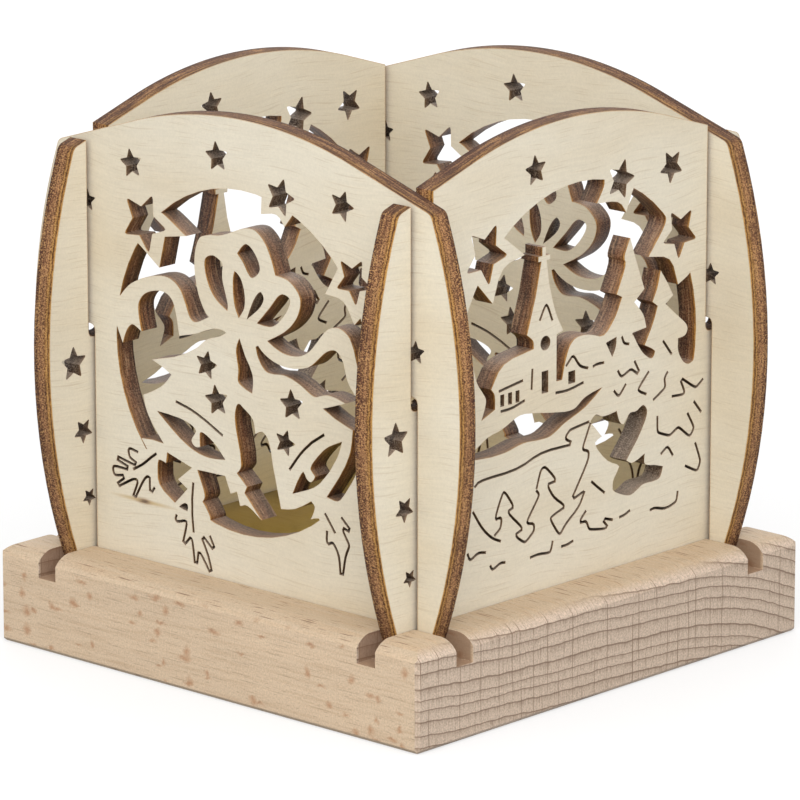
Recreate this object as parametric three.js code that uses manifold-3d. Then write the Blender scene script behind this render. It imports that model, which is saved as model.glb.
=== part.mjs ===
// Tealight holder that plugs together: a grooved beech block, four pierced plywood panels
// that cross at the corners in half-laps, and a thin brass plate on the floor between them.
// Millimetres, +Z up, origin in the middle of the underside of the block.
import * as THREE from 'three';
import { mergeVertices, toCreasedNormals } from 'three/addons/utils/BufferGeometryUtils.js';
import Module from 'manifold-3d';

const wasm = await Module();
wasm.setup();

// Base block
const BASE_SIDE = 100;
const BASE_HEIGHT = 18;
const BASE_ROUND = 4.4;
const BASE_ROUND_DROP = 2;
const BASE_EASE = 0.7;
const GROOVE_OFFSET = 38.2;
const GROOVE_DEPTH = 4.7;

// Panels
const PLY = 3.9;
const PANEL_WIDTH = 101;
const PANEL_HEIGHT = 82;
const BELLY_HEIGHT = 35.3;
const SIDE_RADIUS = 106;
const TOP_RADIUS = 84.6;
const TOP_SLOPE = 17.7;
const SHOULDER = 0.9;
const KERF = 0.5;

// Fits
const GROOVE_SLACK = 0.15;
const FOOT_CLEARANCE = 0.3;
const LAP_HEIGHT = 39.1;
const LAP_SLACK = 0.8;
const LAP_CLEARANCE = 1.2;
const LAP_ROUND = 1.2;

// Floor plate
const PLATE_THICKNESS = 0.6;
const PLATE_MARGIN = 0.4;
const PLATE_BED = 0.3;

// Facets: how far a chord may stray from its curve, how far a cutter runs past a face
const CHORD_ERROR = 0.07;
const OVERRUN = 1;
const CREASE = Math.PI / 6;

// Solids

function solidOf(geometry) {
  geometry.deleteAttribute('normal');
  geometry.deleteAttribute('uv');
  const merged = mergeVertices(geometry, 1e-4);
  const vertProperties = new Float32Array(merged.getAttribute('position').array);
  const triVerts = new Uint32Array(merged.getIndex().array);
  return new wasm.Manifold(new wasm.Mesh({ numProp: 3, vertProperties, triVerts }));
}

function geometryOf(solid) {
  const { vertProperties, triVerts } = solid.getMesh();
  const geometry = new THREE.BufferGeometry();
  geometry.setAttribute('position', new THREE.BufferAttribute(vertProperties, 3));
  geometry.setIndex(new THREE.BufferAttribute(triVerts, 1));
  return toCreasedNormals(geometry, CREASE);
}

const joined = (solids) => solids.reduce((whole, solid) => whole.add(solid));

function prism(points, bottom, top) {
  const options = { depth: top - bottom, bevelEnabled: false };
  const geometry = new THREE.ExtrudeGeometry(new THREE.Shape(points), options);
  return solidOf(geometry.translate(0, 0, bottom));
}

// Drawing of the fretwork. u runs along a panel from its middle and w up from the block;
// the numbers are for the sizes written here, and stretch with the grooves and the panel.

const SHARP = true;

const drawn = (u, w) => new THREE.Vector2((u * GROOVE_OFFSET) / 38.2, (w * PANEL_HEIGHT) / 82);

const cut = (points) => prism(points, -OVERRUN, PLY + OVERRUN);

function sampled(points, closed) {
  const knots = points.map(({ x, y }) => new THREE.Vector3(x, y, 0));
  const curve = new THREE.CatmullRomCurve3(knots, closed, 'centripetal');
  const spans = closed ? points.length : points.length - 1;
  const samples = [];
  for (let span = 0; span < spans; span += 1) {
    const start = curve.getPoint(span / spans);
    const chordMiddle = curve.getPoint((span + 1) / spans).lerp(start, 0.5);
    const bulge = curve.getPoint((span + 0.5) / spans).distanceTo(chordMiddle);
    const steps = Math.max(1, Math.ceil(Math.sqrt(bulge / CHORD_ERROR)));
    for (let step = 0; step < steps; step += 1) {
      const { x, y } = curve.getPoint((span + step / steps) / spans);
      samples.push(new THREE.Vector2(x, y));
    }
  }
  return samples;
}

// Closed outline through points placed by eye, smooth except where a point is marked SHARP
function outline(points) {
  const first = points.findIndex((point) => point[2]);
  const knots = points.map(([u, w]) => drawn(u, w));
  if (first < 0) return sampled(knots, true);
  const samples = [];
  let run = [knots[first]];
  for (let i = 1; i <= points.length; i += 1) {
    const at = (first + i) % points.length;
    run.push(knots[at]);
    if (points[at][2]) {
      samples.push(...sampled(run, false));
      run = [knots[at]];
    }
  }
  return samples;
}

const shape = (points) => cut(outline(points));

const straight = (points) => cut(points.map(([u, w]) => drawn(u, w)));

const box = (left, bottom, width, height) => straight([
  [left, bottom],
  [left + width, bottom],
  [left + width, bottom + height],
  [left, bottom + height],
]);

function disc(u, w, radius, steps) {
  const points = [];
  for (let step = 0; step < steps; step += 1) {
    const angle = (2 * Math.PI * step) / steps;
    points.push([u + radius * Math.cos(angle), w + radius * Math.sin(angle)]);
  }
  return straight(points);
}

// Points of a five-pointed star about its middle, with one tip at the given angle in degrees
function starPoints(radius, turn) {
  const waist = 0.47 * radius;
  const points = [];
  for (let tip = 0; tip < 10; tip += 1) {
    const reach = tip % 2 ? waist : radius;
    const angle = THREE.MathUtils.degToRad(turn + tip * 36);
    points.push([reach * Math.cos(angle), reach * Math.sin(angle)]);
  }
  return points;
}

const star = (u, w, radius, turn) => straight(
  starPoints(radius, turn).map(([x, y]) => [u + x, w + y]),
);

// Run of points with a short flat in place of each bend
function eased(points) {
  return points.flatMap((point, i) => {
    if (i === 0 || i === points.length - 1) return [point];
    const before = point.clone().sub(points[i - 1]);
    const after = points[i + 1].clone().sub(point);
    const flat = Math.min(0.6 * KERF, before.length() / 3.5, after.length() / 3.5);
    const heading = before.normalize().add(after.normalize()).normalize();
    if (heading.dot(after) > 0.95) return [point];
    return [-flat, flat].map((step) => point.clone().addScaledVector(heading, step));
  });
}

// Thin line sawn through the panel along a run of points
function kerf(points) {
  const knots = eased(points.map(([u, w]) => drawn(u, w)));
  const headings = knots.slice(1).map((knot, i) => knot.clone().sub(knots[i]).normalize());
  const left = [];
  const right = [];
  knots.forEach((knot, i) => {
    const before = headings[Math.max(0, i - 1)];
    const after = headings[Math.min(i, headings.length - 1)];
    const along = before.clone().add(after).normalize();
    const miter = KERF / 2 / Math.max(0.4, along.dot(after));
    const side = new THREE.Vector2(-along.y, along.x).multiplyScalar(miter);
    left.push(knot.clone().add(side));
    right.push(knot.clone().sub(side));
  });
  return cut([...left, ...right.reverse()]);
}

// Panel blank

const panelFoot = FOOT_CLEARANCE - GROOVE_DEPTH;

const sideAngle = (w) => Math.asin((w - BELLY_HEIGHT) / SIDE_RADIUS);

// Half the width of the panel at a height
const sideReach = (w) => PANEL_WIDTH / 2 - SIDE_RADIUS * (1 - Math.cos(sideAngle(w)));

// Where a straight slope from a point runs into the right-hand side arc
function shoulderPoint(start, heading, sideCentre) {
  const offset = start.clone().sub(sideCentre);
  const along = offset.dot(heading);
  const length = Math.sqrt(along ** 2 - offset.lengthSq() + SIDE_RADIUS ** 2) - along;
  return start.clone().addScaledVector(heading, length);
}

// Blank with bowed sides and a top that is bowed in the middle and slopes to the shoulders
function blankOutline() {
  const sideCentre = new THREE.Vector2(PANEL_WIDTH / 2 - SIDE_RADIUS, BELLY_HEIGHT);
  const topCentre = new THREE.Vector2(0, PANEL_HEIGHT - TOP_RADIUS);
  const slope = THREE.MathUtils.degToRad(TOP_SLOPE);
  const heading = new THREE.Vector2(Math.cos(slope), -Math.sin(slope));
  const outward = new THREE.Vector2(Math.sin(slope), Math.cos(slope));
  const slopeStart = topCentre.clone().addScaledVector(outward, TOP_RADIUS);
  const corner = shoulderPoint(slopeStart, heading, sideCentre);
  const slopeEnd = corner.clone().addScaledVector(heading, -SHOULDER);
  const sideEnd = sideAngle(corner.y) - SHOULDER / SIDE_RADIUS;
  const half = new THREE.Path();
  half.absarc(sideCentre.x, sideCentre.y, SIDE_RADIUS, sideAngle(panelFoot), sideEnd);
  half.quadraticCurveTo(corner.x, corner.y, slopeEnd.x, slopeEnd.y);
  half.lineTo(slopeStart.x, slopeStart.y);
  half.absarc(topCentre.x, topCentre.y, TOP_RADIUS, Math.PI / 2 - slope, Math.PI / 2);
  const rightSide = half.getPoints(9);
  const leftSide = rightSide.slice(0, -1).reverse();
  return [...rightSide, ...leftSide.map(({ x, y }) => new THREE.Vector2(-x, y))];
}

// Half-lap slots at the two grooves, from the lap out through the top or the foot
function lapSlots(opensUp) {
  const width = PLY + 2 * LAP_SLACK;
  const depth = PANEL_HEIGHT + BASE_HEIGHT;
  const end = LAP_HEIGHT + (opensUp ? -LAP_CLEARANCE : LAP_CLEARANCE);
  const away = opensUp ? 1 : -1;
  return [-1, 1].map((side) => {
    const middle = side * GROOVE_OFFSET;
    const slot = new THREE.Path();
    slot.moveTo(middle - width / 2, end + away * depth);
    slot.lineTo(middle - width / 2, end + away * LAP_ROUND);
    slot.quadraticCurveTo(middle - width / 2, end, middle - width / 2 + LAP_ROUND, end);
    slot.lineTo(middle + width / 2 - LAP_ROUND, end);
    slot.quadraticCurveTo(middle + width / 2, end, middle + width / 2, end + away * LAP_ROUND);
    slot.lineTo(middle + width / 2, end + away * depth);
    return cut(slot.getPoints(4));
  });
}

function panel(opensUp, cuts) {
  const blank = prism(blankOutline(), 0, PLY);
  return blank.subtract(joined([...lapSlots(opensUp), ...cuts]));
}

// Bell panel

function bellBow() {
  return shape([
    [-8.2, 46.6], [-10, 49.6], [-10.9, 53.2], [-10.9, 57], [-9.4, 60.2], [-4.5, 61],
    [0, 62.9], [3.2, 63.3], [6.2, 60.8], [8.2, 56.1, SHARP], [11.2, 55.7], [14, 53],
    [13, 49.2], [9.8, 46.2], [6.2, 44.3, SHARP], [1, 42], [-4.6, 44.7],
  ]);
}

function bellLoop() {
  return shape([
    [-6, 47, SHARP], [-9.2, 45.4], [-11.2, 44.7], [-12.4, 45.6], [-14.3, 49.8], [-17.2, 51.6],
    [-21, 51.3], [-26.5, 49.1], [-29, 46.6, SHARP], [-33, 44, SHARP], [-33, 40, SHARP],
    [-30.2, 41.4, SHARP], [-28.6, 38.1, SHARP], [-27.6, 40.6], [-26.2, 41.9], [-24, 40.9, SHARP],
    [-24.8, 45.4], [-23, 47.9], [-18.4, 48.9], [-16.3, 47.6], [-14.8, 41.7, SHARP],
    [-11, 42.6], [-6, 44.5], [-3.3, 44.2, SHARP], [-2, 46, SHARP],
  ]);
}

function bellRibbon() {
  return shape([
    [2.6, 46, SHARP], [3.1, 44.2, SHARP], [5, 42.2], [8.4, 40.7], [12.5, 40.5], [16.5, 41.6],
    [19.6, 44.5], [22.2, 45.4], [24, 43.5], [24.6, 41], [27, 38], [33, 36, SHARP],
    [33, 40, SHARP], [28.5, 40.4], [27, 44], [25.5, 48], [22.7, 49.4], [19.8, 48.4],
    [16.6, 44.5], [13.6, 42.8], [9.6, 42.8], [6.2, 44.3, SHARP],
  ]);
}

function leftBell() {
  return shape([
    [3, 45, SHARP], [-3.3, 44.2, SHARP], [-5, 43.2], [-8, 42.3], [-10.6, 40.2], [-16, 37.7],
    [-21.5, 36.3, SHARP], [-18.6, 35.3], [-16.8, 34.4, SHARP], [-19, 32], [-23.7, 29.6, SHARP],
    [-22.6, 26.2], [-18.8, 21.7, SHARP], [-11, 18.5, SHARP], [-4, 18.6, SHARP], [-1.2, 19.6, SHARP],
    [-0.1, 21], [-1, 26], [-1.6, 29.3], [-0.8, 32.1], [2.6, 30.4, SHARP], [5, 36, SHARP],
  ]);
}

function rightBell() {
  return shape([
    [-2, 36, SHARP], [0, 45, SHARP], [3.1, 44.2, SHARP], [3.8, 41.4], [6, 38.7], [10, 39],
    [14, 37.9], [17.2, 36.2, SHARP], [20.4, 37.3], [24.4, 36.5, SHARP], [21, 35.3],
    [19.2, 34.7, SHARP], [22, 33.4], [26.1, 32.1, SHARP], [25.5, 28], [23, 23.4],
    [20, 19.3, SHARP], [24, 18.6, SHARP], [24, 12, SHARP], [18.6, 14.2, SHARP], [18.2, 15.2],
    [16.3, 14.7, SHARP], [17.3, 17], [16.4, 17.9, SHARP], [12.6, 15.8], [9.3, 15.2, SHARP],
    [7.4, 22.6], [6.4, 26.8], [5, 28.1], [3.3, 27.4, SHARP], [2.6, 30.2], [0, 31.8],
  ]);
}

function leftLeaf() {
  return shape([
    [-24.2, 21.7, SHARP], [-22.9, 20, SHARP], [-24, 19.4], [-27, 20, SHARP], [-20, 8, SHARP],
    [-8, 6, SHARP], [-8, 9.2, SHARP], [-7.6, 10.4], [-9.5, 13, SHARP], [-8.9, 14],
    [-10.7, 18.4, SHARP], [-10, 20, SHARP], [-18.8, 21.7, SHARP], [-21.5, 21.9],
  ]);
}

function middleLeaf() {
  return straight([
    [-5, 20.5], [-4, 18.6], [-2.7, 15.7], [-1.2, 16.3], [-0.4, 13.9], [1.3, 14.5],
    [4.6, 12.3], [0.6, 16.4], [1.2, 17.6], [-1.2, 19.6], [-2, 21],
  ]);
}

function bellStarFrames() {
  return [
    straight([
      [-28, 66], [-18, 62.5], [-13, 59.6], [-18.1, 58.7], [-19.5, 53], [-24.2, 56.3], [-32, 60],
    ]),
    straight([[5.2, 72], [4.9, 66.3], [8.7, 67], [10.4, 64.9], [12, 66.9], [15, 71]]),
    straight([
      [24, 64], [22.7, 59.6], [19.8, 54.8], [24.2, 54.5], [26.5, 50.5], [28.3, 52.3], [34, 56],
    ]),
  ];
}

function bellMouths() {
  return [
    shape([
      [-20.4, 27.3, SHARP], [-15, 27], [-11.6, 26.1], [-10.9, 25.2], [-12.1, 23.7], [-11.4, 22.6],
      [-10, 22.7], [-10.1, 25.2], [-9.2, 25.4], [-6, 23.6], [-3.9, 21.5, SHARP], [-8, 21.1],
      [-12.4, 22.1], [-17, 24.8],
    ]),
    shape([
      [12, 18.4, SHARP], [13, 20.5], [14.6, 22.8], [15.3, 21.7], [16.3, 21.2], [17.3, 22.4],
      [16.2, 23.5], [18, 26.1], [20.5, 28.3], [23.6, 29.7, SHARP], [22.6, 26.8], [18.5, 21.4],
      [15.5, 19.7],
    ]),
    kerf([[-15.8, 29.8], [-12, 29], [-8.5, 27.6], [-4.5, 25.7]]),
    kerf([[11.3, 22.5], [14, 26], [16.6, 28.3], [19.5, 30.2]]),
    star(-8.3, 37.6, 2.4, 80),
    star(-5.9, 31.7, 2.6, 100),
    star(11.9, 34, 2.6, 95),
    star(10.3, 27.1, 2.2, 75),
  ];
}

function bowFolds() {
  return [
    shape([
      [-8.5, 56.4], [-6.4, 57.3], [-4.2, 56.2, SHARP], [-4.4, 53.2], [-3, 49.2],
      [-3.2, 48, SHARP], [-6.2, 49.8], [-8, 52.6],
    ]),
    shape([[-1.5, 55.3], [0.2, 54], [1, 51], [0.7, 48.8], [-0.5, 47.2, SHARP], [-1.6, 49.6]]),
    shape([
      [-0.8, 58.5, SHARP], [1.2, 60.6], [3.2, 59.4], [4.6, 56.4], [2.4, 54.7], [0.6, 57.2],
    ]),
    shape([[1.4, 47.3, SHARP], [3, 50.9], [4.7, 52.7], [5.5, 51.5], [4, 49.3]]),
    shape([
      [3.8, 47, SHARP], [6.8, 50.2], [9.6, 53.1], [11.7, 52.4], [10, 49.1], [7.3, 46.9],
    ]),
    shape([
      [-0.4, 43.7, SHARP], [-1.3, 41.3], [-0.6, 38], [-0.8, 35.8], [2.6, 34.4, SHARP],
      [2.8, 37.6], [1, 40.7],
    ]),
  ];
}

function hollyCuts() {
  return [
    shape([
      [-20.1, 18.6], [-18.3, 18.3, SHARP], [-18, 20.3, SHARP], [-12, 18.6, SHARP],
      [-15.4, 15.9, SHARP], [-13.1, 14.6, SHARP], [-16.2, 11.5, SHARP], [-20.3, 14, SHARP],
    ]),
    shape([[-15.2, 11, SHARP], [-14, 11.9], [-13.1, 11.8], [-13.2, 10.6]]),
    kerf([
      [-25.1, 19], [-27.3, 19.2], [-27.2, 17.9], [-25.8, 16.8], [-30.1, 17], [-27.8, 15.7],
      [-31.2, 15.3], [-31, 14], [-28.8, 13.9], [-30, 12.3], [-26.5, 13.9], [-25.4, 13.8],
      [-26.1, 10.9], [-23.8, 14.3], [-22.6, 15], [-22, 12.6], [-21.1, 13.4],
    ]),
    kerf([[-26.4, 15.7], [-24, 17], [-22, 18.6], [-20.6, 19.6]]),
    kerf([[-11.7, 16], [-12, 13], [-12, 10], [-11.7, 7]]),
    kerf([
      [-15.8, 9.5], [-15.9, 8.4], [-13.5, 8.6], [-14, 4.8], [-12.3, 5.8], [-11.2, 1.7],
      [-10.3, 3.6], [-7.7, 0.9], [-8.2, 3.6], [-9.4, 6.4], [-7, 5.2], [-7.8, 7.2],
    ]),
    kerf([
      [20.1, 13.4], [20.2, 11.3], [21.5, 11.4], [22.9, 9.5], [23.5, 6.4], [24.4, 9.8],
      [25.2, 11.7], [23.9, 14.3], [25.2, 14.5], [23.4, 16.4],
    ]),
    kerf([[19.6, 16.4], [20.6, 15.1], [22, 13.3]]),
  ];
}

function bellStars() {
  return [
    star(-26.1, 70.4, 2.45, 100),
    star(-5.5, 74.7, 2.5, 97),
    star(9.4, 69.9, 3.1, 3),
    star(23.7, 70.6, 2.55, 0),
    star(-23.2, 60.5, 4.9, 66.5),
    star(26.3, 58.1, 3.8, -10),
    star(-37, 62.3, 1.9, 90),
    star(40.5, 48.1, 1.9, 90),
  ];
}

function bellPanel() {
  const motifs = [
    bellBow(), bellLoop(), bellRibbon(), leftBell(), rightBell(), leftLeaf(), middleLeaf(),
  ];
  const window = disc(0.3, 39.3, 30.4, 56).subtract(joined([...motifs, ...bellStarFrames()]));
  return panel(false, [window, ...bellMouths(), ...bowFolds(), ...hollyCuts(), ...bellStars()]);
}

// Church panel

function steeple() {
  return joined([
    straight([
      [-11.7, 45.8], [-9.5, 52.3], [-8, 58.6], [-6.9, 58.6], [-6, 53.5], [-4.5, 48.5], [-2.4, 45],
      [-4.1, 44.6], [-4.1, 30], [-10, 30], [-10, 44.6],
    ]),
    box(-8.9, 58.1, 3, 0.9),
    box(-7.9, 57.5, 0.9, 3),
  ]);
}

function nave() {
  return straight([[-10, 43.1], [-18, 42.1], [-20.8, 38], [-19.8, 36.9], [-19.9, 30], [-9, 30]]);
}

function cottage() {
  return shape([
    [8.5, 41.7, SHARP], [5, 42.9], [1, 43.1], [-1, 41.4], [-2.6, 36.4, SHARP], [-2.6, 30, SHARP],
    [12, 30, SHARP],
  ]);
}

function tallFir() {
  return straight([
    [15, 58.2], [13.3, 55], [14.1, 53.8], [11.6, 48.8], [13, 48.1], [11.4, 44.9], [8, 41.4],
    [8, 30], [17, 30], [15.8, 41.2], [19.5, 41.5], [18.8, 44], [16.2, 46.6], [18.9, 48.5],
    [16.6, 54],
  ]);
}

function shortFir() {
  return shape([
    [23.2, 51, SHARP], [22.4, 48], [21.1, 45.8, SHARP], [22.5, 44.8, SHARP], [21.3, 41.8],
    [19.1, 38.4, SHARP], [21.9, 36.8], [21, 35.6], [18.5, 37.2, SHARP], [18, 30, SHARP],
    [28, 30, SHARP], [28, 38, SHARP], [30, 38.2], [30.6, 39.6], [27.5, 42.4], [24.6, 44.8, SHARP],
    [26.6, 46, SHARP], [25.2, 48.3],
  ]);
}

function hillside() {
  return shape([
    [-36, 34, SHARP], [-25.4, 42.8, SHARP], [-24.3, 39.5], [-22.2, 36.8], [-22.2, 35.6],
    [-23.3, 33, SHARP], [-19.9, 34.3, SHARP], [-10, 34, SHARP], [-4.1, 36.3, SHARP],
    [-2.6, 36.3, SHARP], [8, 37, SHARP], [16, 40.8, SHARP], [18.5, 37.2], [21, 35.6],
    [24, 37, SHARP], [28, 35.7], [29.2, 33.8], [31, 32.8], [33, 33.7, SHARP], [38, 34, SHARP],
    [38, 2, SHARP], [-36, 2, SHARP],
  ]);
}

function churchStarFrames() {
  return [
    straight([
      [-28, 68], [-17.9, 64], [-12.4, 60], [-18.3, 58.9], [-20.5, 52.9], [-24.7, 57.2], [-32, 62],
    ]),
    straight([[8.1, 73], [8.1, 68.5], [6.2, 65.8], [12.1, 65.3], [13.9, 62.9], [15, 65.5], [18, 71]]),
    straight([
      [26, 64], [24.1, 58.6], [19.9, 54], [26, 53], [27.9, 47.7], [30.3, 48.7], [38, 54],
    ]),
  ];
}

function villageGaps() {
  return [
    shape([
      [-28, 27.3, SHARP], [-24.5, 28.3], [-21.6, 29.9], [-18, 30.4], [-14, 32.1], [-10, 31.8],
      [-2, 30.5], [1, 30.6], [3, 32], [8, 33, SHARP], [3, 30], [-2, 28.5], [-6, 26.7],
      [-12.5, 27.1], [-17, 26.2], [-24.5, 26.4],
    ]),
    shape([
      [4.8, 27.4, SHARP], [6.3, 28.5], [8, 27.7], [11.8, 28, SHARP], [12.4, 26.2], [13.6, 25.2],
      [15.3, 27.1], [17, 26.9], [18.8, 27.8], [20, 26.4], [17.5, 22], [14.5, 18.6, SHARP],
      [16, 17.8], [19.4, 18.9, SHARP], [19.3, 17], [22, 16.3], [24.3, 15.6, SHARP], [23.4, 13.5],
      [19, 13.5], [15.6, 12], [10.9, 13.8, SHARP], [11, 15.8], [12.6, 17.9], [9.5, 19.5],
      [6.1, 23.4], [7.9, 24.2, SHARP], [5.2, 27],
    ]),
    straight([[8.8, 40.7], [11.6, 41.3], [11.5, 39.5], [10.5, 37.9]]),
  ];
}

function buildingCuts() {
  const windows = [-18.5, -16.5, -14.6].map((left) => box(left, 34.5, 1, 2.1));
  return [
    ...windows,
    disc(-7, 43.6, 1.3, 12),
    box(-7.9, 34.8, 1.7, 3.9),
    box(-1, 35.2, 1.8, 2.2),
    kerf([[-8.5, 47.8], [-6.8, 50.2], [-5.2, 47.2]]),
    kerf([[-10.3, 39.7], [-10.5, 36]]),
    kerf([[-18.9, 37.3], [-12.7, 38.1]]),
    kerf([[-18.4, 33.7], [-15.5, 33.7], [-12.2, 34.5]]),
    kerf([[-1.6, 38.5], [0.2, 39.9], [2, 37.8], [4.2, 37.1]]),
    kerf([[5.4, 37.1], [6.5, 37.4], [8.4, 37.3]]),
    kerf([[-4.3, 34.3], [-1, 34.1], [3, 34.8]]),
  ];
}

function firLines() {
  return [
    kerf([
      [-19.9, 12.1], [-18.4, 13.2], [-18.2, 14.8], [-19.5, 15.2], [-17.5, 19.3], [-15.2, 16.4],
      [-16.2, 15.5], [-12.9, 12], [-14.2, 11], [-12, 9.4], [-9.8, 10.9], [-9.8, 12],
      [-11.4, 12.8], [-8.5, 17], [-9.2, 18],
    ]),
    kerf([
      [-9.1, 18.2], [-7.9, 21.3], [-6.9, 21.6], [-4.3, 18.9], [-6, 18.2], [-4.5, 15.7], [-2, 13.7],
      [-5.3, 12.2], [-3, 9], [-1.5, 10.4], [2, 12.7], [3.5, 15.3],
    ]),
    kerf([[3.3, 15.3], [0.6, 14.8], [4.3, 20.5], [4.4, 22.1], [3, 23], [4.9, 27.2]]),
    kerf([
      [-25, 21.7], [-23.6, 22.6], [-14, 22.6], [-8, 24.5], [-0.4, 24.6], [-1.5, 25.8],
      [-0.5, 26.9], [4.6, 27.5],
    ]),
    kerf([[-25.4, 17.5], [-23, 14], [-20.5, 11.8], [-18.2, 10.8]]),
  ];
}

function snowMarks() {
  return [
    [[-26.7, 10.4], [-26, 9.2], [-24, 10], [-22, 9.6]],
    [[-20.9, 7.1], [-20.3, 6.3], [-18.3, 7], [-17, 6.8]],
    [[-10.7, 6.3], [-8.5, 6.5], [-5.5, 6.3], [-4.8, 8.1]],
    [[-2.6, 6.6], [-1, 6.6], [0.6, 7]],
    [[5.2, 16.7], [6.7, 15.5], [8.8, 13.9]],
    [[3.9, 11.7], [2.5, 10.1], [3.9, 9.7], [4.9, 8.2], [9.3, 7.6], [8.8, 9], [11, 8.6]],
    [[12.7, 8.7], [14, 8.8], [15.6, 9.4]],
    [[20.9, 8.3], [22.3, 8.5], [25, 7.7], [27.9, 8.5], [28.4, 10.3]],
    [[12, 35.2], [13, 34], [15.5, 34.7], [17.4, 33.9], [16.4, 36.1]],
    [[11, 31.8], [12.3, 30.7], [14.2, 32.4]],
    [[20.3, 33.5], [17.6, 30.7], [19.7, 29.5]],
    [[24, 38.3], [26.4, 35.4]],
    [[13, 41.1], [13.7, 39.8], [15, 39.4]],
    [[25.4, 32.5], [24.6, 31.5], [24.6, 29.8], [21.5, 28.1]],
    [[26.5, 27.8], [29.8, 27.8], [29.2, 30.2], [33, 28.3], [35, 29.4]],
    [[32.5, 25.8], [34.6, 23.4]],
    [[22.7, 25], [22.9, 22.1], [26, 20.9], [28.4, 21.8], [31.5, 19.8], [32.5, 21], [30.8, 24]],
    [[23.7, 17.9], [25.5, 18.8], [27, 17]],
    [[33, 18.2], [34.4, 14.6], [33.6, 13.1], [30.3, 14.5]],
  ].map(kerf);
}

// Star on the part that stands out past the left-hand crossing, placed and sized by its width
function wingStar(height, across, size, turn) {
  const { y: w } = drawn(0, height);
  const crossing = GROOVE_OFFSET + PLY / 2;
  const wing = sideReach(w) - crossing;
  const middle = -crossing - across * wing;
  const points = starPoints(size * wing, turn);
  return cut(points.map(([x, y]) => new THREE.Vector2(middle + x, w + y)));
}

function churchStars() {
  return [
    star(-9.7, 74.2, 2.5, 96),
    star(12.4, 69, 3.3, 0),
    star(25.8, 69.1, 2.8, 48),
    star(-22.2, 61.7, 4.9, 62),
    star(28.3, 56.9, 4.2, 50),
    wingStar(33.8, 0.44, 0.276, 90),
    wingStar(21.3, 0.25, 0.223, -91),
    wingStar(9.1, 0.15, 0.212, -90),
  ];
}

function churchPanel() {
  const skyline = [steeple(), nave(), cottage(), tallFir(), shortFir(), hillside()];
  const sky = disc(1.5, 39, 31.4, 56).subtract(joined([...skyline, ...churchStarFrames()]));
  const lines = [...firLines(), ...snowMarks()];
  return panel(true, [sky, ...villageGaps(), ...buildingCuts(), ...lines, ...churchStars()]);
}

// Base block

const BASE_AXES = {
  x: new THREE.Vector3(1, 0, 0),
  y: new THREE.Vector3(0, 1, 0),
  z: new THREE.Vector3(0, 0, 1),
};

// Bar of the block's section, its top edges rounded down to an arris on the sides
function baseBar(across, along) {
  const half = BASE_SIDE / 2;
  const arris = Math.asin(1 - BASE_ROUND_DROP / BASE_ROUND);
  const roundX = half - BASE_ROUND * Math.cos(arris);
  const roundY = BASE_HEIGHT - BASE_ROUND;
  const section = new THREE.Shape();
  section.moveTo(BASE_EASE - half, 0);
  section.lineTo(half - BASE_EASE, 0);
  section.lineTo(half, BASE_EASE);
  section.absarc(roundX, roundY, BASE_ROUND, arris, Math.PI / 2);
  section.absarc(-roundX, roundY, BASE_ROUND, Math.PI / 2, Math.PI - arris);
  section.lineTo(-half, BASE_EASE);
  const options = { depth: BASE_SIDE, bevelEnabled: false, curveSegments: 8 };
  const geometry = new THREE.ExtrudeGeometry(section, options);
  geometry.translate(0, 0, -half);
  geometry.applyMatrix4(new THREE.Matrix4().makeBasis(across, BASE_AXES.z, along));
  return solidOf(geometry);
}

// Plain post that eases the four upright edges
function basePost() {
  const half = BASE_SIDE / 2;
  const points = [
    [half, half - BASE_EASE], [half - BASE_EASE, half],
    [BASE_EASE - half, half], [-half, half - BASE_EASE],
    [-half, BASE_EASE - half], [BASE_EASE - half, -half],
    [half - BASE_EASE, -half], [half, BASE_EASE - half],
  ];
  return prism(points.map(([x, y]) => new THREE.Vector2(x, y)), -OVERRUN, BASE_HEIGHT + OVERRUN);
}

function groove(isAlongX, place) {
  const width = PLY + 2 * GROOVE_SLACK;
  const length = BASE_SIDE + 2 * OVERRUN;
  const height = GROOVE_DEPTH + OVERRUN;
  const size = isAlongX ? [length, width, height] : [width, length, height];
  const geometry = new THREE.BoxGeometry(...size);
  const middle = BASE_HEIGHT - GROOVE_DEPTH + height / 2;
  return solidOf(geometry.translate(isAlongX ? 0 : place, isAlongX ? place : 0, middle));
}

function baseBlock() {
  const { x, y } = BASE_AXES;
  const block = baseBar(x, y.clone().negate()).intersect(baseBar(y, x)).intersect(basePost());
  const grooves = [-1, 1].flatMap((side) => [
    groove(true, side * GROOVE_OFFSET),
    groove(false, side * GROOVE_OFFSET),
  ]);
  return block.subtract(joined(grooves));
}

// Assembly

const plywood = new THREE.MeshStandardMaterial({ color: 0xe3d8be, roughness: 0.75, metalness: 0 });
const beech = new THREE.MeshStandardMaterial({ color: 0xd9b48c, roughness: 0.7, metalness: 0 });
const brass = new THREE.MeshStandardMaterial({ color: 0xb8993f, roughness: 0.3, metalness: 1 });

function piece(name, geometry, material) {
  const mesh = new THREE.Mesh(geometry, material);
  mesh.name = name;
  return mesh;
}

// Stands a panel in its groove, its drawing seen from the front or from the right
function standing(mesh, facesRight, place) {
  const { x, y, z } = BASE_AXES;
  const basis = new THREE.Matrix4();
  if (facesRight) {
    basis.makeBasis(y, z, x);
    mesh.position.set(place - PLY / 2, 0, BASE_HEIGHT);
  } else {
    basis.makeBasis(x, z, y.clone().negate());
    mesh.position.set(0, place + PLY / 2, BASE_HEIGHT);
  }
  mesh.quaternion.setFromRotationMatrix(basis);
  return mesh;
}

function floorPlate() {
  const side = 2 * (GROOVE_OFFSET - PLY / 2 - PLATE_MARGIN);
  const mesh = piece('floor_plate', new THREE.BoxGeometry(side, side, PLATE_THICKNESS), brass);
  mesh.position.z = BASE_HEIGHT + PLATE_BED + PLATE_THICKNESS / 2;
  return mesh;
}

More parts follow.
